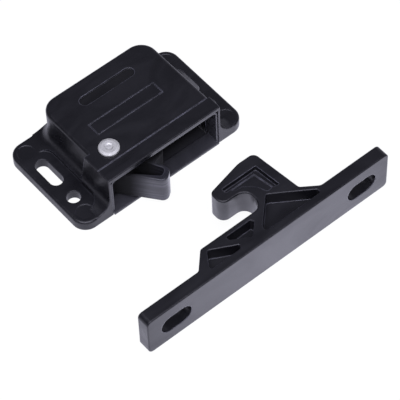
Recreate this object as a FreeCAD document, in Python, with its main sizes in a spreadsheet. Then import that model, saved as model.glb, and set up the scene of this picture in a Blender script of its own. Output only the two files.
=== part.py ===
import FreeCAD, Part
import math
import os

import Sketcher
from FreeCAD import Placement, Rotation, Vector

os.makedirs("parts", exist_ok=True)

doc = FreeCAD.newDocument("ClawCatch")
sheet = doc.addObject("Spreadsheet::Sheet", "Sizes")

# Frame: X runs across the mouth, Y from the mouth plane back into the case, Z up from the mounting face.
# All lengths are in millimetres and all angles in degrees.
driving_sizes = [
    ("flange_reach", 12.05, "case wall to the flange's outer edge"),
    ("case_depth", 38.3, "mouth plane to back face"),
    ("flange_depth", 40.2, "mouth plane to the flanges' back edge"),
    ("flange_shift", 0.5, "middle of the flanges, to the left of the mouth's middle"),
    ("case_shift", 0.45, "middle of the case behind the mouth, to the right of the mouth's middle"),
    ("case_width", 43.6, "outside width of the case behind the mouth"),
    ("case_height", 18.6, "mounting face to roof"),
    ("case_edge", 1.2, "rounding of the case's top edge"),
    ("back_corner", 6.0, "rounding of the case's two back corners, seen from above"),
    ("side_wall", 1.3, "case side wall"),
    ("back_wall", 2.0, "case back wall"),
    ("roof_wall", 2.0, "case roof"),
    ("flange_thick", 3.7, "mounting flange"),
    ("flange_corner", 5.0, "rounding of the flange corners, seen from above"),
    ("flange_edge", 0.8, "rounding of the flange's top edge"),
    ("cove_radius", 5.5, "hollow fillet between flange and case wall"),
    ("mouth_step", 1.05, "how much further out each wall stands at the mouth"),
    ("mouth_strip", 5.4, "depth of the wider strip at the mouth"),
    ("strip_drop", 0.3, "step down from roof to mouth strip"),
    ("strip_edge", 0.3, "rounding of the mouth strip's top edge"),
    ("mouth_edge", 0.3, "rounding of the housing's front edges"),
    ("mouth_wall", 0.85, "side wall of the mouth"),
    ("mouth_roof", 1.4, "roof of the mouth"),
    ("bulge_depth", 12.3, "how far back the left wall keeps the mouth's width, at the roof"),
    ("bulge_slope", 2.9, "how much further back it reaches at its foot"),
    ("screw_edge", 5.45, "screw holes and slots to the flange's outer edge"),
    ("screw_hole", 4.8, "diameter of the screw holes and width of the flange slots"),
    ("screw_setback", 11.6, "mouth plane to screw holes"),
    ("slot_setback", 24.45, "mouth plane to the middle of the flange slots"),
    ("flange_slot", 12.2, "length of the flange slots"),
    ("screw_land_front", 4.6, "mouth plane to the flat land round the screws"),
    ("screw_land_back", 33.2, "mouth plane to the land's far end"),
    ("screw_land_step", 14.0, "mouth plane to the step in the land"),
    ("screw_land_ledge", 2.0, "ledge of cove left beside the case wall"),
    ("mouth_land_ledge", 1.0, "the same beside the mouth"),
    ("screw_land_corner", 4.0, "rounding of the land's corners"),
    ("ejector_mark", 6.0, "diameter of the ejector marks on the flanges"),
    ("ejector_mark_edge", 4.6, "mark centre to the flange's edges"),
    ("mark_depth", 0.12, "depth of the ejector marks and height of the label border"),
    ("roof_slot_length", 21.7, "long shallow recess in the roof"),
    ("roof_slot_width", 3.9, "width of that recess"),
    ("roof_slot_setback", 30.1, "mouth plane to that recess"),
    ("roof_slot_depth", 0.5, "depth of that recess"),
    ("label_length", 26.6, "blank label field on the roof"),
    ("label_width", 5.3, "width of the label field"),
    ("label_setback", 19.15, "mouth plane to the middle of the label field"),
    ("label_line", 0.3, "width of the label field's raised border"),
    ("pivot_inset", 7.4, "mouth's left inner wall to the cam pivot"),
    ("pivot_setback", 10.0, "mouth plane to cam pivot"),
    ("shank_diameter", 4.0, "rivet shank"),
    ("rivet_head", 7.0, "rivet head diameter"),
    ("rivet_head_height", 1.1, "rivet head height"),
    ("rivet_dimple", 2.9, "diameter of the dimple in the head"),
    ("rivet_tail", 6.4, "clenched end diameter"),
    ("rivet_tail_height", 0.8, "clenched end height"),
    ("tail_recess", 1.0, "depth of the recess that hides the clenched end"),
    ("turning_gap", 0.05, "radial clearance of what turns on a pin"),
    ("pivot_boss", 8.4, "diameter of the bosses above and below the cam"),
    ("lip_proud", 0.4, "base lip in front of the mouth plane"),
    ("floor_thick", 1.0, "base plate floor"),
    ("ramp_height", 1.7, "top of the lead-in ramp"),
    ("ramp_depth", 4.9, "mouth plane to the top of the ramp"),
    ("frame_gap", 0.25, "gap between mouth wall and mouth frame"),
    ("frame_wall", 0.6, "mouth frame walls"),
    ("frame_setback", 0.3, "mouth plane to the frame's front edge"),
    ("frame_corner", 1.8, "rounding of the frame's top corners"),
    ("mouth_height", 16.0, "mounting face to the underside of the frame's lintel"),
    ("base_gap", 0.2, "gap round the base plate inside the case"),
    ("cam_low", 2.0, "underside of the cam"),
    ("cam_high", 13.1, "top of the cam"),
    ("cam_swing", 52.0, "turn of the cam from open to closed"),
    ("hub_radius", 5.15, "cam hub, and pivot to the cam's outer face"),
    ("nose_reach", 19.7, "pivot to the end of the nose"),
    ("nose_thick", 6.4, "thickness of the nose arm"),
    ("nose_round", 2.2, "rounding of the nose towards the outer face"),
    ("nose_inner_round", 3.0, "rounding of the nose towards the throat"),
    ("throat_reach", 14.0, "pivot to the bottom of the cam's throat"),
    ("throat_round", 0.8, "rounding of the throat's bottom"),
    ("heel_height", 4.9, "how far the heel stands above the throat"),
    ("heel_lean", 1.7, "how far the heel leans over the throat"),
    ("heel_thick", 2.6, "thickness of the heel's end"),
    ("cam_edge", 0.45, "rounding of the cam's top and bottom edges"),
    ("nose_core_wall", 1.8, "wall round the hollow in the nose, at the tip"),
    ("nose_core_throat_wall", 1.5, "the same, towards the throat"),
    ("nose_core_floor", 1.5, "floor under that hollow"),
    ("nose_core_start", 6.65, "pivot to that hollow's near end"),
    ("nose_core_rise", 2.2, "how much further towards the throat it reaches at its near end"),
    ("link_reach", 7.0, "cam pivot to the spring guide's pivot"),
    ("link_angle", 100.0, "direction of that pivot on the closed cam"),
    ("link_radius", 1.5, "rounded head of the spring guide"),
    ("link_wall", 2.7, "guide's pivot to the outside of the cam"),
    ("seat_room", 5.15, "back wall to the spring seat's pivot"),
    ("seat_radius", 2.6, "spring seat"),
    ("seat_pin", 1.2, "radius of the spring seat's pins"),
    ("seat_half_height", 3.0, "spring seat, middle to shoulder"),
    ("seat_flat", 1.6, "spring seat's pivot to the face that the spring bears on"),
    ("seat_pin_length", 3.0, "length of each of the seat's pins"),
    ("rod_radius", 1.1, "spring guide rod"),
    ("rod_gap", 0.25, "clearance of the rod in the spring seat"),
    ("rod_overrun", 3.0, "rod past the seat's pivot"),
    ("collar_reach", 3.0, "guide's pivot to its collar"),
    ("collar_thick", 0.8, "guide collar"),
    ("spring_radius", 2.3, "outside radius of the spring"),
    ("wire_radius", 0.35, "spring wire"),
    ("spring_pitch", 1.5, "one turn of the spring to the next"),
    ("keeper_length", 98.1, "keeper bar"),
    ("keeper_height", 16.6, "keeper bar, mounting edge to top"),
    ("keeper_thick", 4.9, "keeper bar, mounting face to back"),
    ("keeper_edge", 0.4, "rounding of the bar's long edges"),
    ("keeper_corner", 1.8, "rounding of the bar's corners, seen from the front"),
    ("keeper_offset", 2.75, "middle of the keeper, to the right of the mouth's middle"),
    ("keeper_distance", 48.1, "mouth plane to the keeper's mounting face"),
    ("keeper_slot_inset", 11.15, "bar's end to the middle of the slot"),
    ("keeper_slot_length", 11.8, "length of the keeper slots"),
    ("keeper_slot_width", 7.2, "width of the keeper slots"),
    ("hook_thick", 10.0, "thickness of the hook, down from the bar's top edge"),
    ("hook_reach", 28.2, "mounting face to the hook's tip"),
    ("hook_right", 17.1, "middle to the hook's right side at the tip"),
    ("hook_taper", 2.1, "how much further right that side is at its foot"),
    ("head_left", 3.6, "middle to the head's left end"),
    ("head_low", 19.1, "mounting face to the near side of the head"),
    ("shoulder_reach", 10.8, "mounting face to the shoulder under the throat"),
    ("shoulder_left", 19.4, "middle to the shoulder's left end"),
    ("keeper_throat_end", 5.9, "middle to the end of the throat"),
    ("keeper_throat_round", 3.5, "rounding of the throat's end"),
    ("foot_spread", 5.6, "how far each foot runs out along the bar"),
    ("web_wall", 2.9, "mounting face to the hollows between the ribs"),
    ("hollow_depth", 4.9, "depth of the hollows between the ribs"),
    ("hollow_left", 22.2, "middle to the left hollow's far end"),
    ("hollow_right", 22.8, "middle to the right hollow's far end"),
    ("hollow_top", 13.3, "mounting face to the top of the right hollow"),
    ("shoulder_wall", 1.8, "wall between the shoulder and the hollows"),
    ("hollow_rim", 0.25, "rounding of the hollows' rims"),
    ("hollow_round", 0.8, "rounding of the hollows' corners"),
    ("groove_depth", 2.0, "depth of the groove in the head"),
    ("groove_width", 1.9, "width of the groove in the head"),
    ("groove_inset", 4.4, "hook's tip to the groove"),
    ("groove_length", 10.2, "length of the groove's side arm"),
    ("panel_depth", 0.3, "depth of the panel inside the groove"),
    ("panel_gap", 0.3, "groove to panel"),
    ("hook_edge", 0.5, "rounding of the hook's top edge"),
]
for row, (alias, number, meaning) in enumerate(driving_sizes, start=1):
    sheet.set("A%d" % row, meaning)
    sheet.set("B%d" % row, str(number))
    sheet.setAlias("B%d" % row, alias)
doc.recompute()


def size(alias):
    return float(sheet.get(alias))


def cell(expression):
    """An expression over the sheet's aliases, written the way the property editor takes it."""
    words = []
    for word in expression.split():
        words.append("Sizes." + word if word.isidentifier() else word)
    return " ".join(words)


def value(expression):
    return float(sheet.evalExpression(cell(expression)))


# Sizes that follow from the driving ones, as expressions.
mouth_half = "( case_width / 2 + mouth_step )"
flange_half = "( case_width / 2 + flange_reach )"
pivot_x = "( pivot_inset + mouth_wall - case_width / 2 - mouth_step )"
cam_mid = "( ( cam_low + cam_high ) / 2 )"


def rounded_loop(corners):
    """Edges of a closed outline. Each corner is (x, y) or (x, y, rounding)."""
    count = len(corners)
    starts, ends, arcs = [], [], []
    for i, corner in enumerate(corners):
        here = Vector(corner[0], corner[1], 0)
        rounding = corner[2] if len(corner) > 2 else 0.0
        if rounding <= 0:
            starts.append(here)
            ends.append(here)
            arcs.append(None)
            continue
        before = corners[i - 1]
        after = corners[(i + 1) % count]
        back = (Vector(before[0], before[1], 0) - here).normalize()
        ahead = (Vector(after[0], after[1], 0) - here).normalize()
        half = back.getAngle(ahead) / 2
        run = rounding / math.tan(half)
        middle_line = (back + ahead).normalize()
        centre = here + middle_line * (rounding / math.sin(half))
        first, last = here + back * run, here + ahead * run
        starts.append(first)
        ends.append(last)
        arcs.append(Part.Arc(first, centre - middle_line * rounding, last))
    edges = []
    for i in range(count):
        if arcs[i] is not None:
            edges.append(arcs[i])
        following = starts[(i + 1) % count]
        if (following - ends[i]).Length > 1e-6:
            edges.append(Part.LineSegment(ends[i], following))
    return edges


def stadium(x, y, length, width, upright=False):
    """A slot's outline about (x, y), its length along X or, when upright, along Y."""
    run, half = (length - width) / 2, width / 2
    along, across = (Vector(0, 1, 0), Vector(1, 0, 0)) if upright else (Vector(1, 0, 0), Vector(0, 1, 0))
    middle = Vector(x, y, 0)
    a, b = middle - along * run, middle + along * run
    return [
        Part.LineSegment(a - across * half, b - across * half),
        Part.Arc(b - across * half, b + along * half, b + across * half),
        Part.LineSegment(b + across * half, a + across * half),
        Part.Arc(a + across * half, a - along * half, a - across * half),
    ]


def new_body(name):
    body = doc.addObject("PartDesign::Body", name)
    body.Label = name
    return body


def new_sketch(body, name, role="XY_Plane", offset=None):
    """A sketch on one of the body's own origin planes, moved along its normal by an expression."""
    sketch = body.newObject("Sketcher::SketchObject", name)
    plane = next(f for f in body.Origin.OriginFeatures if f.Role == role)
    sketch.AttachmentSupport = (plane, [""])
    sketch.MapMode = "FlatFace"
    if offset is not None:
        sketch.setExpression("AttachmentOffset.Base.z", cell(offset))
    return sketch


def draw(sketch, edges):
    """Adds a computed outline, joined end to end and held where the sizes put it."""
    first = sketch.GeometryCount
    for edge in edges:
        sketch.addGeometry(edge, False)
    count = sketch.GeometryCount - first
    for i in range(count):
        sketch.addConstraint(Sketcher.Constraint("Block", first + i))


def draw_circle(sketch, x, y, radius):
    """A circle whose centre and radius follow expressions."""
    circle = Part.Circle(Vector(value(x), value(y), 0), Vector(0, 0, 1), value(radius))
    index = sketch.addGeometry(circle, False)
    for kind, expression in (("DistanceX", x), ("DistanceY", y)):
        number = sketch.addConstraint(Sketcher.Constraint(kind, -1, 1, index, 3, value(expression)))
        sketch.setExpression("Constraints[%d]" % number, cell(expression))
    number = sketch.addConstraint(Sketcher.Constraint("Radius", index, value(radius)))
    sketch.setExpression("Constraints[%d]" % number, cell(radius))


def draw_rectangle(sketch, left, right, low, high):
    """An upright rectangle whose four sides follow expressions."""
    x0, x1, y0, y1 = value(left), value(right), value(low), value(high)
    corners = [Vector(x0, y0, 0), Vector(x1, y0, 0), Vector(x1, y1, 0), Vector(x0, y1, 0)]
    first = sketch.GeometryCount
    for i in range(4):
        sketch.addGeometry(Part.LineSegment(corners[i], corners[(i + 1) % 4]), False)
    for i in range(4):
        sketch.addConstraint(Sketcher.Constraint("Coincident", first + i, 2, first + (i + 1) % 4, 1))
        sketch.addConstraint(Sketcher.Constraint("Vertical" if i % 2 else "Horizontal", first + i))
    for kind, corner, expression in (
        ("DistanceX", 0, left),
        ("DistanceY", 0, low),
        ("DistanceX", 2, right),
        ("DistanceY", 2, high),
    ):
        number = sketch.addConstraint(
            Sketcher.Constraint(kind, -1, 1, first + corner, 1, value(expression))
        )
        sketch.setExpression("Constraints[%d]" % number, cell(expression))


def pad(body, sketch, length, reverse=False, both_ways=False):
    """Adds material. The plane XZ looks towards -Y, so reverse pads its sketches towards +Y."""
    feature = body.newObject("PartDesign::Pad", sketch.Name + "Pad")
    feature.Profile = sketch
    feature.setExpression("Length", cell(length))
    feature.Reversed = reverse
    feature.Midplane = both_ways
    doc.recompute()
    return feature


def pocket(body, sketch, length, reverse=False, both_ways=False):
    """Cuts material below the sketch, or above it when reversed, and checks that it did."""
    before = body.Shape.Volume
    feature = body.newObject("PartDesign::Pocket", sketch.Name + "Cut")
    feature.Profile = sketch
    feature.setExpression("Length", cell(length))
    feature.Reversed = reverse
    feature.Midplane = both_ways
    doc.recompute()
    if body.Shape.Volume > before - 1e-3:
        raise RuntimeError(feature.Name + " cut nothing")
    return feature


def round_edges(body, radius, chosen):
    """A fillet on the edges of the body's tip that the test picks."""
    base = body.Tip
    names = ["Edge%d" % (i + 1) for i, edge in enumerate(base.Shape.Edges) if chosen(edge)]
    feature = body.newObject("PartDesign::Fillet", base.Name + "Round")
    feature.Base = (base, names)
    feature.setExpression("Radius", cell(radius))
    doc.recompute()
    if not names or "Invalid" in feature.State:
        raise RuntimeError(feature.Name + " rounded nothing")
    return feature


def level_at(edge, z):
    """True for an edge that lies wholly at the height z."""
    return abs(edge.BoundBox.ZMin - z) < 1e-4 and abs(edge.BoundBox.ZMax - z) < 1e-4


def case_section(left, right, height, edge):
    """The case's cross-section, seen from the mouth: two walls with a cove at the foot of each."""
    foot, cove = size("flange_thick"), size("cove_radius")
    bend = 1 - math.sqrt(0.5)
    edges = []
    for x, sign in ((left, -1), (right, 1)):
        toe = Vector(x + sign * cove, foot, 0)
        hollow = Vector(x + sign * cove * bend, foot + cove * bend, 0)
        top_of_cove = Vector(x, foot + cove, 0)
        shoulder = Vector(x, height - edge, 0)
        crown = Vector(x - sign * edge, height, 0)
        outer = Vector(x - sign * edge * bend, height - edge * bend, 0)
        edges += [
            Part.LineSegment(Vector(toe.x, 0, 0), toe),
            Part.Arc(toe, hollow, top_of_cove),
            Part.LineSegment(top_of_cove, shoulder),
            Part.Arc(shoulder, outer, crown),
            Part.LineSegment(crown, Vector((left + right) / 2, height, 0)),
        ]
    edges.append(Part.LineSegment(Vector(left - cove, 0, 0), Vector(right + cove, 0, 0)))
    return edges


# Places that several pieces share.
half_case = size("case_width") / 2
case_left, case_right = size("case_shift") - half_case, size("case_shift") + half_case
half_mouth = value(mouth_half)
inner_half_mouth = half_mouth - size("mouth_wall")
flange_middle = -size("flange_shift")
strip_top = size("case_height") - size("strip_drop")
pivot = Vector(value(pivot_x), size("pivot_setback"), 0)
cam_middle = value(cam_mid)
inner_corner = size("back_corner") - size("side_wall")


def turned(length, degrees):
    return Vector(length * math.cos(math.radians(degrees)), length * math.sin(math.radians(degrees)), 0)


# The spring's line passes over the cam pivot halfway through the swing.
seat_direction = size("link_angle") - size("cam_swing") / 2
seat_depth = size("case_depth") - size("back_wall") - size("seat_room") - pivot.y
seat = pivot + turned(seat_depth / math.sin(math.radians(seat_direction)), seat_direction)
link = pivot + turned(size("link_reach"), size("link_angle") - size("cam_swing"))
rod_line = seat - link
rod_direction = math.degrees(math.atan2(rod_line.y, rod_line.x))


def make_housing():
    """Moulded case with two screw flanges, open at the mouth and underneath."""
    body = new_body("housing")

    plate = new_sketch(body, "FlangePlate")
    half, deep, corner = value(flange_half), size("flange_depth"), size("flange_corner")
    draw(plate, rounded_loop([(flange_middle - half, 0, corner), (flange_middle + half, 0, corner),
                              (flange_middle + half, deep, corner), (flange_middle - half, deep, corner)]))
    pad(body, plate, "flange_thick")
    round_edges(body, "flange_edge", lambda edge: level_at(edge, size("flange_thick")))

    # The left wall keeps the mouth's width for a while and ends in a slanting face.
    # Offsets along the normal of XZ are negative because that plane looks towards -Y.
    height, edge = size("case_height"), size("case_edge")
    bulge = new_sketch(body, "BulgeSection", "XZ_Plane", "0 - mouth_strip")
    draw(bulge, case_section(-half_mouth, half_mouth / 2, height, size("strip_edge")))
    pad(body, bulge, "bulge_depth + bulge_slope - mouth_strip", reverse=True)
    slant = new_sketch(body, "BulgeEnd", "YZ_Plane")
    top, foot = size("bulge_depth"), size("bulge_depth") + size("bulge_slope")
    draw(slant, rounded_loop([(top, height), (foot, size("flange_thick")), (foot + 1, size("flange_thick")),
                              (foot + 1, height + 1), (top, height + 1)]))
    pocket(body, slant, "2 * " + flange_half, both_ways=True)

    case = new_sketch(body, "CaseSection", "XZ_Plane", "0 - mouth_strip")
    draw(case, case_section(case_left, case_right, height, edge))
    pad(body, case, "case_depth - back_corner - mouth_strip", reverse=True)
    mouth = new_sketch(body, "MouthSection", "XZ_Plane")
    draw(mouth, case_section(-half_mouth, half_mouth, strip_top, size("strip_edge")))
    pad(body, mouth, "mouth_strip", reverse=True)

    # The back corners are the same section turned about an upright axis. The back wall has the cove too,
    # and the flanges' back face cuts all three off.
    rounding, cove, foot = size("back_corner"), size("cove_radius"), size("flange_thick")
    bend = 1 - math.sqrt(0.5)
    rim_steps = [
        (rounding + cove, foot), (rounding + cove * bend, foot + cove * bend), (rounding, foot + cove),
        (rounding, height - edge), (rounding - edge * bend, height - edge * bend), (rounding - edge, height),
    ]
    for name, axis_x, sign in (("Left", case_left + rounding, -1), ("Right", case_right - rounding, 1)):
        section = new_sketch(body, name + "CornerSection", "XZ_Plane", "back_corner - case_depth")
        rim = [Vector(axis_x + sign * reach, z, 0) for reach, z in rim_steps]
        low, high = Vector(axis_x, foot, 0), Vector(axis_x, height, 0)
        draw(section, [
            Part.LineSegment(low, rim[0]),
            Part.Arc(rim[0], rim[1], rim[2]),
            Part.LineSegment(rim[2], rim[3]),
            Part.Arc(rim[3], rim[4], rim[5]),
            Part.LineSegment(rim[5], high),
            Part.LineSegment(high, low),
        ])
        axis = section.addGeometry(Part.LineSegment(low, high), True)
        section.addConstraint(Sketcher.Constraint("Block", axis))
        turn = body.newObject("PartDesign::Revolution", name + "Corner")
        turn.Profile = section
        turn.ReferenceAxis = (section, ["Axis0"])
        turn.Angle = 360
        doc.recompute()

    back = new_sketch(body, "BackSection", "YZ_Plane")
    axis_y = size("case_depth") - rounding
    rim = [Vector(axis_y + reach, z, 0) for reach, z in rim_steps]
    low, high = Vector(axis_y - 1, foot - 1, 0), Vector(axis_y - 1, height, 0)
    under = Vector(rim[0].x, foot - 1, 0)
    draw(back, [
        Part.LineSegment(low, under),
        Part.LineSegment(under, rim[0]),
        Part.Arc(rim[0], rim[1], rim[2]),
        Part.LineSegment(rim[2], rim[3]),
        Part.Arc(rim[3], rim[4], rim[5]),
        Part.LineSegment(rim[5], high),
        Part.LineSegment(high, low),
    ])
    back.setExpression("AttachmentOffset.Base.z", cell("case_shift"))
    pad(body, back, "case_width - 2 * back_corner", both_ways=True)
    trim = new_sketch(body, "BackTrim")
    draw_rectangle(trim, "0 - 2 * " + flange_half, "2 * " + flange_half, "flange_depth",
                   "flange_depth + 2 * cove_radius")
    pocket(body, trim, "case_height", reverse=True)

    def front_rim(edge):
        box = edge.BoundBox
        return abs(box.YMax) < 1e-4 and box.ZMin > size("flange_thick") + size("mouth_edge")

    round_edges(body, "mouth_edge", front_rim)

    cavity = new_sketch(body, "Cavity")
    left, right = case_left + size("side_wall"), case_right - size("side_wall")
    front, rear = size("mouth_strip") - size("mouth_roof"), size("case_depth") - size("back_wall")
    draw(cavity, rounded_loop([(left, front), (right, front), (right, rear, inner_corner),
                               (left, rear, inner_corner)]))
    pocket(body, cavity, "case_height - roof_wall", reverse=True)
    opening = new_sketch(body, "Mouth")
    draw_rectangle(opening, "mouth_wall - " + mouth_half, mouth_half + " - mouth_wall", "0 - lip_proud",
                   "mouth_strip")
    pocket(body, opening, "case_height - strip_drop - mouth_roof", reverse=True)

    # A boss hangs from the roof over the cam, and another takes the spring seat's upper pin.
    cam_boss = new_sketch(body, "CamBoss", offset="case_height - roof_wall / 2")
    draw_circle(cam_boss, pivot_x, "pivot_setback", "pivot_boss / 2")
    pad(body, cam_boss, "case_height - roof_wall / 2 - cam_high - turning_gap * 2", reverse=True)
    seat_boss = new_sketch(body, "SeatBoss", offset="case_height - roof_wall / 2")
    draw(seat_boss, [Part.Circle(seat, Vector(0, 0, 1), size("seat_radius"))])
    pad(body, seat_boss, "case_height - roof_wall / 2 - seat_half_height - turning_gap * 2 - " + cam_mid, reverse=True)
    rivet_hole = new_sketch(body, "RivetHole", offset="case_height")
    draw_circle(rivet_hole, pivot_x, "pivot_setback", "shank_diameter / 2 + turning_gap")
    pocket(body, rivet_hole, "case_height")
    pin_hole = new_sketch(body, "SeatPinHole")
    draw(pin_hole, [Part.Circle(seat, Vector(0, 0, 1), size("seat_pin") + size("turning_gap"))])
    pocket(body, pin_hole, cam_mid + " + seat_half_height + seat_pin_length + base_gap", reverse=True)

    # Flat lands cut out of the coves make room for the screw heads.
    lands = new_sketch(body, "ScrewLands", offset="flange_thick")
    front, rear, land_corner = size("screw_land_front"), size("screw_land_back"), size("screw_land_corner")
    step = size("screw_land_step")
    outer, ledge = 2 * value(flange_half), size("screw_land_ledge")
    near_mouth = half_mouth + size("mouth_land_ledge")
    draw(lands, rounded_loop([
        (-outer, front), (-near_mouth, front, land_corner), (-near_mouth, step, 0.2),
        (case_left - ledge, step, 0.2), (case_left - ledge, rear, land_corner), (-outer, rear)]))
    draw(lands, rounded_loop([
        (outer, front), (outer, rear), (case_right + ledge, rear, land_corner),
        (case_right + ledge, front, land_corner)]))
    pocket(body, lands, "case_height", reverse=True)

    holes = new_sketch(body, "ScrewHoles", offset="flange_thick")
    for side in ("screw_edge - flange_shift - " + flange_half, flange_half + " - flange_shift - screw_edge"):
        draw_circle(holes, side, "screw_setback", "screw_hole / 2")
        draw(holes, stadium(value(side), size("slot_setback"), size("flange_slot"), size("screw_hole"), True))
    pocket(body, holes, "flange_thick")

    marks = new_sketch(body, "EjectorMarks", offset="flange_thick")
    for x in ("ejector_mark_edge - flange_shift - " + flange_half,
              flange_half + " - flange_shift - ejector_mark_edge"):
        for y in ("ejector_mark_edge", "flange_depth - ejector_mark_edge"):
            draw_circle(marks, x, y, "ejector_mark / 2")
    pocket(body, marks, "mark_depth")

    roof_slot = new_sketch(body, "RoofSlot", offset="case_height")
    draw(roof_slot, stadium(size("case_shift"), size("roof_slot_setback"), size("roof_slot_length"),
                            size("roof_slot_width")))
    pocket(body, roof_slot, "roof_slot_depth")
    label = new_sketch(body, "LabelBorder", offset="case_height")
    left, right = "0 - flange_shift - label_length / 2", "label_length / 2 - flange_shift"
    front, back = "label_setback - label_width / 2", "label_setback + label_width / 2"
    draw_rectangle(label, left, right, front, back)
    draw_rectangle(label, left + " + label_line", right + " - label_line", front + " + label_line",
                   back + " - label_line")
    pad(body, label, "mark_depth")
    return body


def make_base_plate():
    """Thin plate that closes the case, with the lead-in ramp and the frame that lines the mouth."""
    body = new_body("base_plate")
    gap = size("base_gap")
    frame_half = inner_half_mouth - size("frame_gap")
    strip = size("mouth_strip") - gap
    floor = new_sketch(body, "Floor")
    left, right = case_left + size("side_wall") + gap, case_right - size("side_wall") - gap
    rear = size("case_depth") - size("back_wall") - gap
    draw(floor, rounded_loop([
        (-frame_half, 0), (frame_half, 0), (frame_half, strip), (right, strip), (right, rear, inner_corner),
        (left, rear, inner_corner), (left, strip), (-frame_half, strip)]))
    pad(body, floor, "floor_thick")

    ramp = new_sketch(body, "Ramp", "YZ_Plane")
    proud, floor_top = size("lip_proud"), size("floor_thick")
    draw(ramp, rounded_loop([(-proud, 0), (size("ramp_depth"), 0), (size("ramp_depth"), size("ramp_height"), 0.3),
                             (0, floor_top, 0.4), (-proud, floor_top * 0.9, 0.3)]))
    pad(body, ramp, "2 * " + mouth_half + " - 2 * mouth_wall - 2 * frame_gap", both_ways=True)

    frame = new_sketch(body, "MouthFrame", "XZ_Plane", "0 - frame_setback")
    wall, top, corner = size("frame_wall"), size("mouth_height"), size("frame_corner")
    draw(frame, rounded_loop([(-frame_half, 0), (frame_half, 0), (frame_half, top + wall, corner),
                              (-frame_half, top + wall, corner)]))
    draw(frame, rounded_loop([(wall - frame_half, floor_top / 2), (frame_half - wall, floor_top / 2),
                              (frame_half - wall, top, corner - wall), (wall - frame_half, top, corner - wall)]))
    pad(body, frame, "mouth_strip - base_gap - frame_setback", reverse=True)

    rivet_boss = new_sketch(body, "RivetBoss")
    draw_circle(rivet_boss, pivot_x, "pivot_setback", "pivot_boss / 2")
    pad(body, rivet_boss, "cam_low - turning_gap * 2")
    seat_boss = new_sketch(body, "LowerSeatBoss")
    draw(seat_boss, [Part.Circle(seat, Vector(0, 0, 1), size("seat_radius"))])
    pad(body, seat_boss, cam_mid + " - seat_half_height - turning_gap * 2")

    rivet_hole = new_sketch(body, "BaseRivetHole")
    draw_circle(rivet_hole, pivot_x, "pivot_setback", "shank_diameter / 2 + turning_gap")
    pocket(body, rivet_hole, "cam_low", reverse=True)
    recess = new_sketch(body, "TailRecess")
    draw_circle(recess, pivot_x, "pivot_setback", "rivet_tail / 2 + base_gap")
    pocket(body, recess, "tail_recess", reverse=True)
    pin_hole = new_sketch(body, "LowerPinHole", offset=cam_mid + " - seat_half_height")
    draw(pin_hole, [Part.Circle(seat, Vector(0, 0, 1), size("seat_pin") + size("turning_gap"))])
    pocket(body, pin_hole, "seat_pin_length + base_gap")
    return body


def make_cam():
    """The claw. It is drawn closed, with its nose along +X, and then turned open about the pivot."""
    body = new_body("cam")
    hub, nose, inner = size("hub_radius"), size("nose_reach"), size("nose_thick") - size("hub_radius")
    throat, heel_thick = size("throat_reach"), size("heel_thick")
    heel_x, heel_y = throat + size("heel_lean"), inner + size("heel_height")
    link_point = turned(size("link_reach"), size("link_angle"))
    link_wall = size("link_wall")
    outline = new_sketch(body, "CamOutline", offset="cam_low")
    draw(outline, rounded_loop([
        (-hub, -hub, hub - 0.05), (nose, -hub, size("nose_round")), (nose, inner, size("nose_inner_round")),
        (throat, inner, size("throat_round")), (heel_x, heel_y, heel_thick / 3),
        (heel_x - heel_thick / 4, heel_y + heel_thick, heel_thick / 3),
        (link_point.x + link_wall, link_point.y + link_wall / 2, 1.2),
        (link_point.x - link_wall, link_point.y + link_wall / 2, 1.2), (-hub, 1, 3)]))
    pad(body, outline, "cam_high - cam_low")
    round_edges(body, "cam_edge", lambda edge: level_at(edge, size("cam_high")) or level_at(edge, size("cam_low")))

    # The rod swings in a fan-shaped slot in the middle of the cam's height.
    closed_line = seat - pivot - link_point
    shut = math.degrees(math.atan2(closed_line.y, closed_line.x))
    wide_open = rod_direction + size("cam_swing")
    spread = math.radians(wide_open - shut) / 2
    rod_room = size("rod_radius") + size("rod_gap")
    apex = link_point - turned(rod_room / math.sin(spread), (shut + wide_open) / 2)
    fan_reach = 3 * size("link_reach")
    fan = new_sketch(body, "RodFan", offset=cam_mid)
    draw(fan, rounded_loop([apex[:], (apex + turned(fan_reach, shut))[:2], (apex + turned(fan_reach, wide_open))[:2]]))
    pocket(body, fan, "( rod_radius + rod_gap ) * 2", both_ways=True)

    socket = new_sketch(body, "GuideSocket", offset="cam_high")
    draw(socket, [Part.Circle(link_point, Vector(0, 0, 1), size("link_radius") + size("turning_gap"))])
    pocket(body, socket, "cam_high - cam_low")
    bore = new_sketch(body, "CamBore", offset="cam_high")
    draw_circle(bore, "0", "0", "shank_diameter / 2 + turning_gap")
    pocket(body, bore, "cam_high - cam_low")

    core = new_sketch(body, "NoseHollow", offset="cam_high")
    tip_wall, inner_wall = size("nose_core_wall"), size("nose_core_throat_wall")
    near = inner - inner_wall
    start, rise = size("nose_core_start"), size("nose_core_rise")
    draw(core, rounded_loop([
        (start, near + rise, 0.8), (start, tip_wall / 3 - hub, 0.4), (nose - tip_wall, tip_wall - hub, 1.3),
        (nose - tip_wall, near, 1.3), (throat - 2 * inner_wall, near + rise * 0.6, 1)]))
    pocket(body, core, "cam_high - cam_low - nose_core_floor")
    body.Placement = Placement(pivot, Rotation(Vector(0, 0, 1), -size("cam_swing")))
    return body


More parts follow.
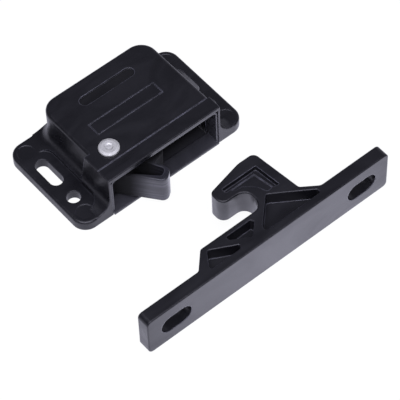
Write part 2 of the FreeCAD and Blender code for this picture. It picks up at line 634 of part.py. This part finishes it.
def make_rivet():
    """Semi-tubular rivet: domed head with a dimple above the roof, clenched end under the base."""
    body = new_body("pivot_rivet")
    section = new_sketch(body, "RivetSection", "XZ_Plane")
    top, head, rise = size("case_height"), size("rivet_head") / 2, size("rivet_head_height")
    shank, tail = size("shank_diameter") / 2, size("rivet_tail") / 2
    web = size("tail_recess")
    low = web - size("rivet_tail_height")
    dimple, sunk = size("rivet_dimple") / 2, rise * 0.25
    draw(section, rounded_loop([
        (0, low), (tail * 0.8, low, 0.2), (tail, web, 0.15), (shank, web), (shank, top),
        (head, top, 0.2), (head, top + rise * 0.75, 0.35), (head * 0.72, top + rise, 0.5),
        (dimple, top + rise * 0.97, 0.2), (dimple * 0.7, top + rise - sunk, 0.3), (0, top + rise - sunk * 0.8)]))
    turn = body.newObject("PartDesign::Revolution", "RivetTurn")
    turn.Profile = section
    turn.ReferenceAxis = (section, ["V_Axis"])
    turn.Angle = 360
    doc.recompute()
    body.Placement = Placement(pivot, Rotation())
    return body


def make_spring_guide():
    """Rod with a round head that bears in the cam's socket and a collar that carries the spring."""
    length = rod_line.Length + size("rod_overrun")
    along_x = Rotation(Vector(0, 1, 0), 90)
    rod = doc.addObject("Part::Cylinder", "GuideRod")
    rod.setExpression("Radius", cell("rod_radius"))
    rod.Height = length
    rod.Placement = Placement(Vector(0, 0, 0), along_x)
    collar = doc.addObject("Part::Cylinder", "GuideCollar")
    collar.setExpression("Radius", cell("spring_radius - 0.1"))
    collar.setExpression("Height", cell("collar_thick"))
    collar.Placement = Placement(Vector(size("collar_reach"), 0, 0), along_x)
    head = doc.addObject("Part::Cylinder", "GuideHead")
    head.setExpression("Radius", cell("link_radius"))
    head.setExpression("Height", cell("seat_half_height * 2"))
    head.Placement = Placement(Vector(0, 0, -size("seat_half_height")), Rotation())
    guide = doc.addObject("Part::MultiFuse", "spring_guide")
    guide.Label = "spring_guide"
    guide.Shapes = [rod, collar, head]
    guide.Placement = Placement(link + Vector(0, 0, cam_middle), Rotation(Vector(0, 0, 1), rod_direction))
    return guide


def make_spring():
    """Compression spring on the guide rod, between the collar and the seat."""
    start = size("collar_reach") + size("collar_thick") + size("wire_radius") + 0.02
    end = rod_line.Length - size("seat_flat") - size("wire_radius") - 0.02
    coil = doc.addObject("Part::Helix", "SpringLine")
    coil.Radius = size("spring_radius") - size("wire_radius")
    coil.Height = end - start
    coil.Pitch = size("spring_pitch")
    wire = doc.addObject("Part::Circle", "SpringWire")
    wire.setExpression("Radius", cell("wire_radius"))
    wire.Placement = Placement(Vector(coil.Radius, 0, 0), Rotation(Vector(1, 0, 0), 90))
    doc.recompute()
    spring = doc.addObject("Part::Sweep", "spring")
    spring.Label = "spring"
    spring.Sections = [wire]
    spring.Spine = (coil, ["Edge1"])
    spring.Solid = True
    spring.Frenet = True
    lay_down = Rotation(Vector(0, 0, 1), rod_direction).multiply(Rotation(Vector(0, 1, 0), 90))
    origin = link + turned(start, rod_direction) + Vector(0, 0, cam_middle)
    spring.Placement = Placement(origin, lay_down)
    return spring


def make_spring_seat():
    """Rocking block that the rod slides through, on two pins held by the base and the roof."""
    tall, reach = size("seat_half_height"), size("seat_radius")
    block = doc.addObject("Part::Cylinder", "SeatBlock")
    block.setExpression("Radius", cell("seat_radius"))
    block.setExpression("Height", cell("seat_half_height * 2"))
    block.Placement = Placement(Vector(0, 0, -tall), Rotation())
    pins = doc.addObject("Part::Cylinder", "SeatPins")
    pins.setExpression("Radius", cell("seat_pin"))
    pins.setExpression("Height", cell("( seat_half_height + seat_pin_length ) * 2"))
    pins.Placement = Placement(Vector(0, 0, -tall - size("seat_pin_length")), Rotation())
    whole = doc.addObject("Part::Fuse", "SeatWhole")
    whole.Base, whole.Tool = block, pins
    bore = doc.addObject("Part::Cylinder", "SeatBore")
    bore.setExpression("Radius", cell("rod_radius + rod_gap"))
    bore.setExpression("Height", cell("seat_radius * 3"))
    bore.Placement = Placement(Vector(-reach * 1.5, 0, 0), Rotation(Vector(0, 1, 0), 90))
    flat = doc.addObject("Part::Box", "SeatFlat")
    flat.setExpression("Length", cell("seat_radius"))
    flat.setExpression("Width", cell("seat_radius * 3"))
    flat.setExpression("Height", cell("seat_half_height * 2"))
    flat.Placement = Placement(Vector(-size("seat_flat") - reach, -reach * 1.5, -tall), Rotation())
    tools = doc.addObject("Part::Fuse", "SeatTools")
    tools.Base, tools.Tool = bore, flat
    spring_seat = doc.addObject("Part::Cut", "spring_seat")
    spring_seat.Label = "spring_seat"
    spring_seat.Base, spring_seat.Tool = whole, tools
    spring_seat.Placement = Placement(seat + Vector(0, 0, cam_middle), Rotation(Vector(0, 0, 1), rod_direction))
    return spring_seat


def make_keeper():
    """Screw bar with a ribbed hook whose throat takes the nose of the cam."""
    body = new_body("keeper")
    bar = new_sketch(body, "Bar", "XZ_Plane")
    half, high, corner = size("keeper_length") / 2, size("keeper_height"), size("keeper_corner")
    draw(bar, rounded_loop([(-half, 0, corner), (half, 0, corner), (half, high, corner),
                            (-half, high, corner)]))
    pad(body, bar, "keeper_thick", reverse=True)
    round_edges(body, "keeper_edge", lambda edge: abs(edge.BoundBox.YMax) < 1e-4)

    back, tip, shoulder = size("keeper_thick"), size("hook_reach"), size("shoulder_reach")
    left_foot = size("shoulder_left") + size("foot_spread")
    foot_right = size("hook_right") + size("hook_taper")
    throat, low, end = size("keeper_throat_end"), size("head_low"), size("head_left")
    bend = size("keeper_throat_round")
    hook = new_sketch(body, "Hook", offset="keeper_height - hook_thick")
    draw(hook, rounded_loop([
        (-left_foot - 3, back - 1.5), (-left_foot - 3, back), (-left_foot, back, 1.5),
        (-size("shoulder_left"), shoulder, 1.6), (throat, shoulder, bend), (throat, low, bend),
        (-end, low, 2.9), (-end, tip - 3.1, 2.0), (10.4, tip, 7), (size("hook_right"), tip, 2.3),
        (foot_right, back + 4, 1.2), (foot_right + size("foot_spread"), back, 2.5),
        (foot_right + size("foot_spread") + 3, back), (foot_right + size("foot_spread") + 3, back - 1.5)]))
    pad(body, hook, "hook_thick")
    hook_top = size("keeper_height")

    def hook_rim(edge):
        return level_at(edge, hook_top) and edge.BoundBox.YMin > back + 0.2

    round_edges(body, "hook_edge", hook_rim)

    slots = new_sketch(body, "KeeperSlots", "XZ_Plane")
    for sign in (-1, 1):
        draw(slots, stadium(sign * (half - size("keeper_slot_inset")), high / 2, size("keeper_slot_length"),
                            size("keeper_slot_width")))
    # Pockets from XZ cut towards +Y, into the bar.
    pocket(body, slots, "keeper_thick")

    web, bend = size("web_wall"), size("hollow_round")
    hollows = new_sketch(body, "RibHollows", offset="keeper_height")
    upper = shoulder - size("shoulder_wall")
    far_left, far_right = -size("hollow_left"), size("hollow_right")
    draw(hollows, rounded_loop([(far_left, web, bend), (-9.8, web, 0.5), (-9.2, web + 1.3, 0.4),
                                (far_left + upper - web - 2, upper, bend)]))
    draw(hollows, rounded_loop([(-10.6, upper, 0.5), (-10.3, web + 4.7, 0.5), (-4.1, web + 1.0, bend),
                                (-0.2, upper - 1.2, 0.5), (-0.6, upper, 0.5)]))
    draw(hollows, rounded_loop([(0.4, web, bend), (far_right, web, 0.5), (far_right, web + 1.4, 0.5),
                                (9.4, size("hollow_top"), bend), (0.6, web + 1.7, 0.5)]))
    old_rims = [edge.CenterOfMass for edge in body.Shape.Edges]
    pocket(body, hollows, "hollow_depth")

    def hollow_rim(edge):
        return level_at(edge, hook_top) and all((edge.CenterOfMass - spot).Length > 0.01 for spot in old_rims)

    round_edges(body, "hollow_rim", hollow_rim)

    wide, far = size("groove_width"), tip - size("groove_inset")
    right, long = size("hook_right") - 3.0, size("groove_length")
    groove = new_sketch(body, "HeadGroove", offset="keeper_height")
    draw(groove, rounded_loop([(0.3, far, 0.3), (right, far, 0.6), (right + 1.1, far - long, 0.3),
                               (right - 0.9, far - long + 0.3, 0.3), (right - 2.3, far - wide, 0.3),
                               (0.3, far - wide, 0.3)]))
    pocket(body, groove, "groove_depth")
    panel = new_sketch(body, "HeadPanel", offset="keeper_height")
    top, side = far - wide - size("panel_gap"), right - 2.3 - size("panel_gap")
    draw(panel, rounded_loop([(2.0, top), (side, top), (side + 1.3, far - long + 0.6),
                              (side - 0.9, far - long + 0.2, 1.0), (side - 2.2, far - long * 0.65, 1.5),
                              (side - 5.6, top - 1.2, 2.0), (3.4, top - 1.0, 0.8)]))
    pocket(body, panel, "panel_depth")
    body.Placement = Placement(Vector(size("keeper_offset"), -size("keeper_distance"), 0), Rotation())
    return body


pieces = [
    make_housing(),
    make_base_plate(),
    make_cam(),
    make_rivet(),
    make_spring_guide(),
    make_spring(),
    make_spring_seat(),
    make_keeper(),
]
doc.recompute()

failed = [o.Name for o in doc.Objects if "Invalid" in o.State or "Error" in o.State]
if failed:
    raise RuntimeError("objects not made: " + ", ".join(failed))
for piece in pieces:
    shape = piece.Shape
    if shape.isNull() or not shape.isValid() or len(shape.Solids) != 1:
        raise RuntimeError(piece.Label + " is not one sound solid")
for piece in pieces:
    piece.Shape.exportStep(os.path.join("parts", piece.Label + ".step"))
    box = piece.Shape.BoundBox
    print("%-13s %8.1f mm3  x %6.1f %6.1f  y %6.1f %6.1f  z %5.1f %5.1f" % (
        piece.Label, piece.Shape.Volume, box.XMin, box.XMax, box.YMin, box.YMax, box.ZMin, box.ZMax))
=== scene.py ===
import math

import bpy
from mathutils import Matrix, Vector


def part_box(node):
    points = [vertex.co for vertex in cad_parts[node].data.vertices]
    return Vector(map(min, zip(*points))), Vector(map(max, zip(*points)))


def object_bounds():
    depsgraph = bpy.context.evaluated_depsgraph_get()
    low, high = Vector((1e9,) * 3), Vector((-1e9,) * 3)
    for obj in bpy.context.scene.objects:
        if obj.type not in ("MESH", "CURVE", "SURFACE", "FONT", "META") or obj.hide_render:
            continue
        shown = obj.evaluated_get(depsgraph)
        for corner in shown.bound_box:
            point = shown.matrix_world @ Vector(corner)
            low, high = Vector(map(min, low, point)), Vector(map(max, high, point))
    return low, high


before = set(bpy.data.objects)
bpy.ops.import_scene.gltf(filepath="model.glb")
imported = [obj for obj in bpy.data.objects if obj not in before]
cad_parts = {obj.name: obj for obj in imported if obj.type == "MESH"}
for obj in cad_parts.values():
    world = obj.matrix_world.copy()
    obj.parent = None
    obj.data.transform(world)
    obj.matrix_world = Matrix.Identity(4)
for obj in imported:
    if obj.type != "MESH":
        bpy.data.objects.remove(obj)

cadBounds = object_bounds()
scene = bpy.context.scene
scene.view_settings.view_transform = "Standard"


def mm(length):
    return length / 1000


def linear(hexColour):
    # sRGB hex, as a colour picker shows it, to the linear values that sockets take
    values = []
    for start in (1, 3, 5):
        part = int(hexColour[start:start + 2], 16) / 255
        values.append(part / 12.92 if part <= 0.04045 else ((part + 0.055) / 1.055) ** 2.4)
    return (*values, 1.0)


def perMetre(featureSize):
    # texture scale at which one feature of the pattern is about that many millimetres
    return 1000 / featureSize


def addNode(tree, kind, settings=None, links=None):
    # settings: property or input name -> value; links: input name or number -> output socket
    node = tree.nodes.new(kind)
    for name, value in (settings or {}).items():
        if hasattr(node, name):
            setattr(node, name, value)
        else:
            node.inputs[name].default_value = value
    for name, source in (links or {}).items():
        tree.links.new(source, node.inputs[name])
    return node


def newMaterial(name):
    material = bpy.data.materials.new(name)
    material.use_nodes = True
    material.node_tree.nodes.clear()
    return material, material.node_tree


def closeMaterial(tree, shader):
    addNode(tree, "ShaderNodeOutputMaterial", links={"Surface": shader})


def blend(tree, factor, first, second):
    # first: an output socket; second: a hex colour
    mixed = addNode(tree, "ShaderNodeMix", {"data_type": "RGBA"}, {0: factor, 6: first})
    mixed.inputs[7].default_value = linear(second)
    return mixed


# Moulded black nylon: a satin skin from a spark-eroded tool, with faint flow marks and scuff lines, painted
# highlights on its edges and painted shade in the mouth and the roof's recess.
nylon = {
    "base": "#131317",
    "litClawTone": "#26262c",    # the claw, painted lighter: painted light on its lit face
    "highlightAndScuff": "#6c6c76",        # painted highlight on the edges, and the colour of the cam's scuff lines
    "litFloorTone": "#343438",   # the base plate, painted lighter: painted light on the mouth's lit ramp
    "recessShade": "#0b0b0e",    # painted shade on the floor of the roof's recess
    "mouthShade": "#040405",     # painted shade inside the mouth
    "roughness": 0.33,
    "smoother": 0.09,         # how far the flow marks take the roughness down
    "rougher": 0.11,          # and up
    "highlightLeast": 0.35,        # share of the painted edge highlight where it is weakest
    "scuffed": 0.4,           # share of the scuff colour in the strongest scuff lines
    "faint": 0.2,             # share of the painted edge highlight that marks on the flanges show
    "roughnessInMouth": 1.0,
    "highlightPatch": 2.5,           # mm, patches along the edges over which the painted highlight varies
    "grain": 0.45,            # mm; the real grain is 0.1 mm, drawn coarser so that it shows
    "grainDepth": 0.02,       # mm
    "flow": 14.0,             # mm, length of the flow marks
    "sinkDepth": 0.5,         # mm, at most a fifth of it shows
    "streakWidth": 1.0,       # mm
    "streakDepth": 0.06,      # mm
    "streakStretch": (0.06, 0.06, 1.6),  # pattern scale along X, Y and Z, for long low lines
    "levelBand": 0.12,        # mm, how close to a level a point counts as on it
    "shadeFade": 6.0,        # mm, over which the painted shade sets in
    "edge": 0.5,              # mm, rounding of the moulded edges
    "thinEdge": 0.18,         # mm, the same on thin walls
}


def onLevel(tree, height, level):
    # 1 on the faces at that height in metres, otherwise 0
    near = addNode(tree, "ShaderNodeMath", {"operation": "COMPARE"}, {0: height})
    near.inputs[1].default_value = level
    near.inputs[2].default_value = mm(nylon["levelBand"])
    return near


def mouldedNylon(name, flowAlong=(1, 1, 1), streaks=0.0, shadedLevel=None, faintLevel=None, shadedBehind=None,
                 shade="base", rounding="edge"):
    # streaks: strength of the scuff lines along the walls
    # shadedLevel: height in metres of the roof recess's floor, which gets painted shade
    # faintLevel: height in metres of a face on which the painted edge highlight is mostly left out, so that
    # its marks hardly show
    # shadedBehind: place along Y in metres, behind which the surface has painted shade and is made rougher
    # shade, rounding: which of the nylon's tones and edges the piece has
    material, tree = newMaterial(name)
    place = addNode(tree, "ShaderNodeTexCoord").outputs["Object"]
    grain = addNode(tree, "ShaderNodeTexNoise", {"Scale": perMetre(nylon["grain"]), "Detail": 3.0},
                    {"Vector": place})
    stretched = addNode(tree, "ShaderNodeMapping", {"Scale": flowAlong}, {"Vector": place})
    flow = addNode(tree, "ShaderNodeTexNoise",
                   {"Scale": perMetre(nylon["flow"]), "Detail": 4.0, "Roughness": 0.6, "Distortion": 0.8},
                   {"Vector": stretched.outputs[0]})

    # Where the rounded normal leaves the face's own normal, the surface is an edge.
    rounded = addNode(tree, "ShaderNodeBevel", {"samples": 6, "Radius": mm(nylon[rounding])})
    face = addNode(tree, "ShaderNodeNewGeometry").outputs["Normal"]
    along = addNode(tree, "ShaderNodeVectorMath", {"operation": "DOT_PRODUCT"},
                    {0: rounded.outputs[0], 1: face})
    # Painted highlight: the edges are drawn in a lighter colour, stronger in some patches than in others.
    highlightNoise = addNode(tree, "ShaderNodeTexNoise", {"Scale": perMetre(nylon["highlightPatch"]), "Detail": 5.0},
                     {"Vector": place})
    highlightStrength = addNode(tree, "ShaderNodeMapRange",
                   {"From Min": 0.35, "From Max": 0.65, "To Min": nylon["highlightLeast"], "To Max": 1.0},
                   {"Value": highlightNoise.outputs["Fac"]})
    edge = addNode(tree, "ShaderNodeMapRange", {"From Min": 0.985, "From Max": 0.84},
                   {"Value": along.outputs["Value"], "To Max": highlightStrength.outputs[0]})
    axes = addNode(tree, "ShaderNodeSeparateXYZ", links={"Vector": place}).outputs
    # On that level the painted edge highlight is mostly left out.
    if faintLevel is not None:
        level = onLevel(tree, axes["Z"], faintLevel)
        fading = addNode(tree, "ShaderNodeMapRange", {"To Min": 1.0, "To Max": nylon["faint"]},
                         {"Value": level.outputs[0]})
        edge = addNode(tree, "ShaderNodeMath", {"operation": "MULTIPLY"},
                       {0: edge.outputs[0], 1: fading.outputs[0]})

    tone = addNode(tree, "ShaderNodeMapRange",
                   {"From Min": 0.3, "From Max": 0.7, "To Min": 0.85, "To Max": 1.2},
                   {"Value": flow.outputs["Fac"]})
    base = addNode(tree, "ShaderNodeVectorMath", {"operation": "SCALE"}, {"Scale": tone.outputs[0]})
    base.inputs[0].default_value = linear(nylon[shade])[:3]
    body = base.outputs[0]
    if streaks:
        lines = addNode(tree, "ShaderNodeMapping", {"Scale": nylon["streakStretch"]}, {"Vector": place})
        drawn = addNode(tree, "ShaderNodeTexNoise",
                        {"Scale": perMetre(nylon["streakWidth"]), "Detail": 3.0},
                        {"Vector": lines.outputs[0]})
        scuffs = addNode(tree, "ShaderNodeMapRange",
                         {"From Min": 0.45, "From Max": 0.7, "To Max": nylon["scuffed"]},
                         {"Value": drawn.outputs["Fac"]})
        body = blend(tree, scuffs.outputs[0], body, nylon["highlightAndScuff"]).outputs[2]
    # Painted highlight along the edges.
    colour = blend(tree, edge.outputs[0], body, nylon["highlightAndScuff"])
    if shadedLevel is not None:
        # Painted shade: the roof recess's floor is drawn darker.
        level = onLevel(tree, axes["Z"], shadedLevel)
        colour = blend(tree, level.outputs[0], colour.outputs[2], nylon["recessShade"])
    # Painted shade: inside the mouth the colour goes dark, and the surface is made rougher.
    if shadedBehind is not None:
        shadeMask = addNode(tree, "ShaderNodeMapRange",
                         {"From Min": shadedBehind - mm(nylon["shadeFade"]), "From Max": shadedBehind},
                         {"Value": axes["Y"]})
        colour = blend(tree, shadeMask.outputs[0], colour.outputs[2], nylon["mouthShade"])

    rough = addNode(tree, "ShaderNodeMapRange",
                    {"From Min": 0.3, "From Max": 0.7, "To Min": nylon["roughness"] - nylon["smoother"],
                     "To Max": nylon["roughness"] + nylon["rougher"]}, {"Value": flow.outputs["Fac"]})
    if shadedBehind is not None:
        rough = addNode(tree, "ShaderNodeMapRange", {"To Max": nylon["roughnessInMouth"]},
                        {"Value": shadeMask.outputs[0], "To Min": rough.outputs[0]})
    bump = addNode(tree, "ShaderNodeBump", {"Strength": 0.45, "Distance": mm(nylon["grainDepth"])},
                   {"Height": grain.outputs["Fac"], "Normal": rounded.outputs[0]})
    # Sink marks: the walls are a little wavy, which breaks up what they mirror.
    waves = addNode(tree, "ShaderNodeBump", {"Strength": 0.2, "Distance": mm(nylon["sinkDepth"])},
                    {"Height": flow.outputs["Fac"], "Normal": bump.outputs[0]})
    normal = waves.outputs[0]
    if streaks:
        ridges = addNode(tree, "ShaderNodeBump",
                         {"Strength": streaks, "Distance": mm(nylon["streakDepth"])},
                         {"Height": drawn.outputs["Fac"], "Normal": normal})
        normal = ridges.outputs[0]
    shader = addNode(tree, "ShaderNodeBsdfPrincipled", {"IOR": 1.5},
                     {"Base Color": colour.outputs[2], "Roughness": rough.outputs[0], "Normal": normal})
    closeMaterial(tree, shader.outputs[0])
    return material


# Cold-headed aluminium rivet: pale and rather dull, with rings left by the spinning of the heading tool.
rivetFinish = {
    "base": "#e0e0dc",
    "roughness": 0.68,
    "smoother": 0.08,         # how far the spots take the roughness down
    "rougher": 0.1,           # and up
    "ring": 0.35,             # mm, one ring to the next
    "waveRings": 20,          # rings that the wave texture draws per unit of scale
    "ringDepth": 0.03,        # mm
    "spot": 1.2,              # mm, size of the spots and dents
    "dent": 0.05,             # mm, depth of the dents
    "edge": 0.15,             # mm, rounding of its edges
}


def headedAluminium(name, axis):
    material, tree = newMaterial(name)
    place = addNode(tree, "ShaderNodeTexCoord").outputs["Object"]
    centred = addNode(tree, "ShaderNodeMapping", {"Location": (-axis.x, -axis.y, 0)}, {"Vector": place})
    rings = addNode(tree, "ShaderNodeTexWave",
                    {"wave_type": "RINGS", "rings_direction": "Z",
                     "Scale": perMetre(rivetFinish["ring"]) / rivetFinish["waveRings"],
                     "Distortion": 2.0, "Detail": 3.0, "Detail Scale": 2.0}, {"Vector": centred.outputs[0]})
    spots = addNode(tree, "ShaderNodeTexNoise", {"Scale": perMetre(rivetFinish["spot"]), "Detail": 4.0},
                    {"Vector": place})
    rough = addNode(tree, "ShaderNodeMapRange",
                    {"From Min": 0.3, "From Max": 0.7,
                     "To Min": rivetFinish["roughness"] - rivetFinish["smoother"],
                     "To Max": rivetFinish["roughness"] + rivetFinish["rougher"]},
                    {"Value": spots.outputs["Fac"]})
    rounded = addNode(tree, "ShaderNodeBevel", {"samples": 6, "Radius": mm(rivetFinish["edge"])})
    bump = addNode(tree, "ShaderNodeBump",
                   {"Strength": 0.35, "Distance": mm(rivetFinish["ringDepth"])},
                   {"Height": rings.outputs["Fac"], "Normal": rounded.outputs[0]})
    dents = addNode(tree, "ShaderNodeBump", {"Strength": 0.4, "Distance": mm(rivetFinish["dent"])},
                    {"Height": spots.outputs["Fac"], "Normal": bump.outputs[0]})
    shader = addNode(tree, "ShaderNodeBsdfPrincipled",
                     {"Metallic": 1.0, "Base Color": linear(rivetFinish["base"])},
                     {"Roughness": rough.outputs[0], "Normal": dents.outputs[0]})
    closeMaterial(tree, shader.outputs[0])
    return material


# Drawn spring steel: bright, with fine scratches along the wire.
# Its scratches are measured in mm.
wireFinish = {"base": "#a9a9ac", "scratch": 0.3, "smoothest": 0.22, "roughest": 0.4}


def drawnSteel(name):
    material, tree = newMaterial(name)
    place = addNode(tree, "ShaderNodeTexCoord").outputs["Object"]
    scratches = addNode(tree, "ShaderNodeTexNoise",
                        {"Scale": perMetre(wireFinish["scratch"]), "Detail": 2.0}, {"Vector": place})
    rough = addNode(tree, "ShaderNodeMapRange",
                    {"To Min": wireFinish["smoothest"], "To Max": wireFinish["roughest"]},
                    {"Value": scratches.outputs["Fac"]})
    shader = addNode(tree, "ShaderNodeBsdfPrincipled",
                     {"Metallic": 1.0, "Base Color": linear(wireFinish["base"])},
                     {"Roughness": rough.outputs[0]})
    closeMaterial(tree, shader.outputs[0])
    return material


# Moulded black acetal, which slides well on nylon: waxier than the nylon, with a soft grain.
# Its grain is measured in mm.
acetalFinish = {"base": "#141417", "roughness": 0.5, "grain": 0.6, "grainDepth": 0.02}


def mouldedAcetal(name):
    material, tree = newMaterial(name)
    place = addNode(tree, "ShaderNodeTexCoord").outputs["Object"]
    grain = addNode(tree, "ShaderNodeTexNoise", {"Scale": perMetre(acetalFinish["grain"]), "Detail": 2.0},
                    {"Vector": place})
    bump = addNode(tree, "ShaderNodeBump", {"Strength": 0.15, "Distance": mm(acetalFinish["grainDepth"])},
                   {"Height": grain.outputs["Fac"]})
    shader = addNode(tree, "ShaderNodeBsdfPrincipled",
                     {"Base Color": linear(acetalFinish["base"]), "Roughness": acetalFinish["roughness"],
                      "IOR": 1.48}, {"Normal": bump.outputs[0]})
    closeMaterial(tree, shader.outputs[0])
    return material


def dress(node, material):
    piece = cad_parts[node]
    piece.data.materials.clear()
    piece.data.materials.append(material)


low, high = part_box("pivot_rivet")
pivotAxis = (low + high) / 2
caseLevels = {
    "flangeTop": 3.7,         # mm above the mounting face
    "labelHeight": 0.12,      # mm that the label's border stands above the roof
    "recessDepth": 0.5,       # mm that the roof's recess lies below it
}
shadeStarts = {"cam": 1.0, "base_plate": 9.0}   # mm behind the mouth's front edge, where the painted shade is full
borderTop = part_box("housing")[1].z
recessFloor = borderTop - mm(caseLevels["labelHeight"] + caseLevels["recessDepth"])
dress("housing", mouldedNylon("moulded nylon, case", flowAlong=(0.6, 1.6, 1.0), shadedLevel=recessFloor,
                              faintLevel=mm(caseLevels["flangeTop"])))
dress("base_plate", mouldedNylon("moulded nylon, base plate", shadedBehind=mm(shadeStarts["base_plate"]),
                                 shade="litFloorTone", rounding="thinEdge"))
dress("cam", mouldedNylon("moulded nylon, cam", streaks=1.0, shadedBehind=mm(shadeStarts["cam"]),
                          shade="litClawTone"))
dress("keeper", mouldedNylon("moulded nylon, keeper", flowAlong=(0.5, 1.4, 1.0)))
dress("pivot_rivet", headedAluminium("headed aluminium, rivet", pivotAxis))
dress("spring", drawnSteel("drawn spring steel"))
acetal = mouldedAcetal("moulded acetal")
dress("spring_guide", acetal)
dress("spring_seat", acetal)
print("finishes done")


# Floor, light and camera. Light comes from a large softbox overhead, a weak one at the side
# and the pale floor.
# Places and lengths in the studio are in metres where nothing else is said.
studio = {
    "floor": "#f4f4f6",
    "floorSize": 6,
    "floorDrop": 0.02,        # mm below the lowest point of the part
    "white": 1.03,            # brightness of the floor's glow in the picture
    "floorGlow": 0.93,        # share of the floor that shows as plain white
    "tint": "#e6e5f8",        # cool tint of what satin faces mirror
    "floorMirrored": 0.95,    # the floor's brightness where a satin face mirrors it
    "patch": 2.5,             # the same in the lit patch in front of the keeper
    "patchPlace": (0.012, -0.055, 0),
    "patchReach": (0.01, 0.095),         # from its bright middle to its end
    "horizon": 0.10,
    "zenith": 0.20,
    "skyHeights": (0.25, 0.7),           # heights on the unit sphere between which the sky brightens
    "keyPower": 12.0,
    "keySize": 0.95,
    "keyPlace": (-0.22, -0.28, 0.85),
    "fillPower": 0.4,
    "fillSize": 0.5,
    "fillPlace": (0.7, 0.3, 0.35),
    "aim": (0, -0.01, 0),
}


def paleFloor():
    material, tree = newMaterial("pale floor")
    path = addNode(tree, "ShaderNodeLightPath").outputs
    seen = addNode(tree, "ShaderNodeMath", {"operation": "MAXIMUM"},
                   {0: path["Is Camera Ray"], 1: path["Is Glossy Ray"]})
    seenToo = addNode(tree, "ShaderNodeMath", {"operation": "MAXIMUM"},
                      {0: seen.outputs[0], 1: path["Is Transmission Ray"]})
    share = addNode(tree, "ShaderNodeMath", {"operation": "MULTIPLY"}, {0: seenToo.outputs[0]})
    share.inputs[1].default_value = studio["floorGlow"]
    place = addNode(tree, "ShaderNodeNewGeometry").outputs["Position"]
    fromPatch = addNode(tree, "ShaderNodeVectorMath", {"operation": "DISTANCE"}, {0: place})
    fromPatch.inputs[1].default_value = studio["patchPlace"]
    near, far = studio["patchReach"]
    lit = addNode(tree, "ShaderNodeMapRange",
                  {"interpolation_type": "SMOOTHSTEP", "From Min": near, "From Max": far,
                   "To Min": studio["patch"], "To Max": studio["floorMirrored"]},
                  {"Value": fromPatch.outputs["Value"]})
    brightness = addNode(tree, "ShaderNodeMapRange", {"To Min": studio["white"]},
                         {"Value": path["Is Glossy Ray"], "To Max": lit.outputs[0]})
    plain = addNode(tree, "ShaderNodeRGB")
    plain.outputs[0].default_value = linear("#ffffff")
    colour = blend(tree, path["Is Glossy Ray"], plain.outputs[0], studio["tint"])
    matt = addNode(tree, "ShaderNodeBsdfDiffuse", {"Color": linear(studio["floor"])})
    glow = addNode(tree, "ShaderNodeEmission",
                   links={"Color": colour.outputs[2], "Strength": brightness.outputs[0]})
    mixed = addNode(tree, "ShaderNodeMixShader", None,
                    {0: share.outputs[0], 1: matt.outputs[0], 2: glow.outputs[0]})
    closeMaterial(tree, mixed.outputs[0])
    return material


floorHeight = cadBounds[0][2] - mm(studio["floorDrop"])
bpy.ops.mesh.primitive_plane_add(size=studio["floorSize"], location=(0, 0, floorHeight))
floor = bpy.context.object
floor.name = "floor"
floor.data.materials.append(paleFloor())

world = bpy.data.worlds.new("studio")
scene.world = world
world.use_nodes = True
worldTree = world.node_tree
worldTree.nodes.clear()
rays = addNode(worldTree, "ShaderNodeLightPath").outputs
direction = addNode(worldTree, "ShaderNodeTexCoord").outputs["Generated"]
height = addNode(worldTree, "ShaderNodeSeparateXYZ", links={"Vector": direction}).outputs["Z"]
lowSky, highSky = studio["skyHeights"]
skyLight = addNode(worldTree, "ShaderNodeMapRange",
                   {"From Min": lowSky, "From Max": highSky, "To Min": studio["horizon"],
                    "To Max": studio["zenith"]}, {"Value": height})
soft = addNode(worldTree, "ShaderNodeBackground", links={"Strength": skyLight.outputs[0]})
white = addNode(worldTree, "ShaderNodeBackground", {"Strength": 1.0})
soft.inputs["Color"].default_value = linear(studio["tint"])
white.inputs["Color"].default_value = linear("#ffffff")
behind = addNode(worldTree, "ShaderNodeMixShader", None,
                 {0: rays["Is Camera Ray"], 1: soft.outputs[0], 2: white.outputs[0]})
addNode(worldTree, "ShaderNodeOutputWorld", links={"Surface": behind.outputs[0]})


def softbox(name, place, extent, power):
    light = bpy.data.lights.new(name, "AREA")
    light.shape = "SQUARE"
    light.size = extent
    light.energy = power
    light.color = linear(studio["tint"])[:3]
    lamp = bpy.data.objects.new(name, light)
    scene.collection.objects.link(lamp)
    aim = Vector(studio["aim"]) - Vector(place)
    lamp.matrix_world = Matrix.Translation(place) @ aim.to_track_quat("-Z", "Y").to_matrix().to_4x4()


softbox("overhead softbox", studio["keyPlace"], studio["keySize"], studio["keyPower"])
softbox("side softbox", studio["fillPlace"], studio["fillSize"], studio["fillPower"])

# The camera stands where the photograph was taken: a long lens, high up at the set's front left.
view = {
    "lens": 203.5,            # mm
    "sensor": 36,             # mm
    "azimuth": -37.82,        # degrees
    "elevation": 54.25,
    "roll": -2.46,
    "place": (-257.05, -348.0, 588.0),   # mm
}


def photoCamera():
    azimuth, elevation, roll = (math.radians(view[key]) for key in ("azimuth", "elevation", "roll"))
    right = Vector((math.cos(azimuth), math.sin(azimuth), 0))
    back = Vector((math.sin(azimuth) * math.cos(elevation), -math.cos(azimuth) * math.cos(elevation),
                   math.sin(elevation)))
    up = back.cross(right)
    across = right * math.cos(roll) + up * math.sin(roll)
    upright = up * math.cos(roll) - right * math.sin(roll)
    turn = Matrix((across, upright, back)).transposed().to_4x4()
    data = bpy.data.cameras.new("photo camera")
    data.lens = view["lens"]
    data.sensor_width = view["sensor"]
    camera = bpy.data.objects.new("photo camera", data)
    scene.collection.objects.link(camera)
    camera.matrix_world = Matrix.Translation([mm(value) for value in view["place"]]) @ turn
    return camera


scene.camera = photoCamera()
print("studio done")
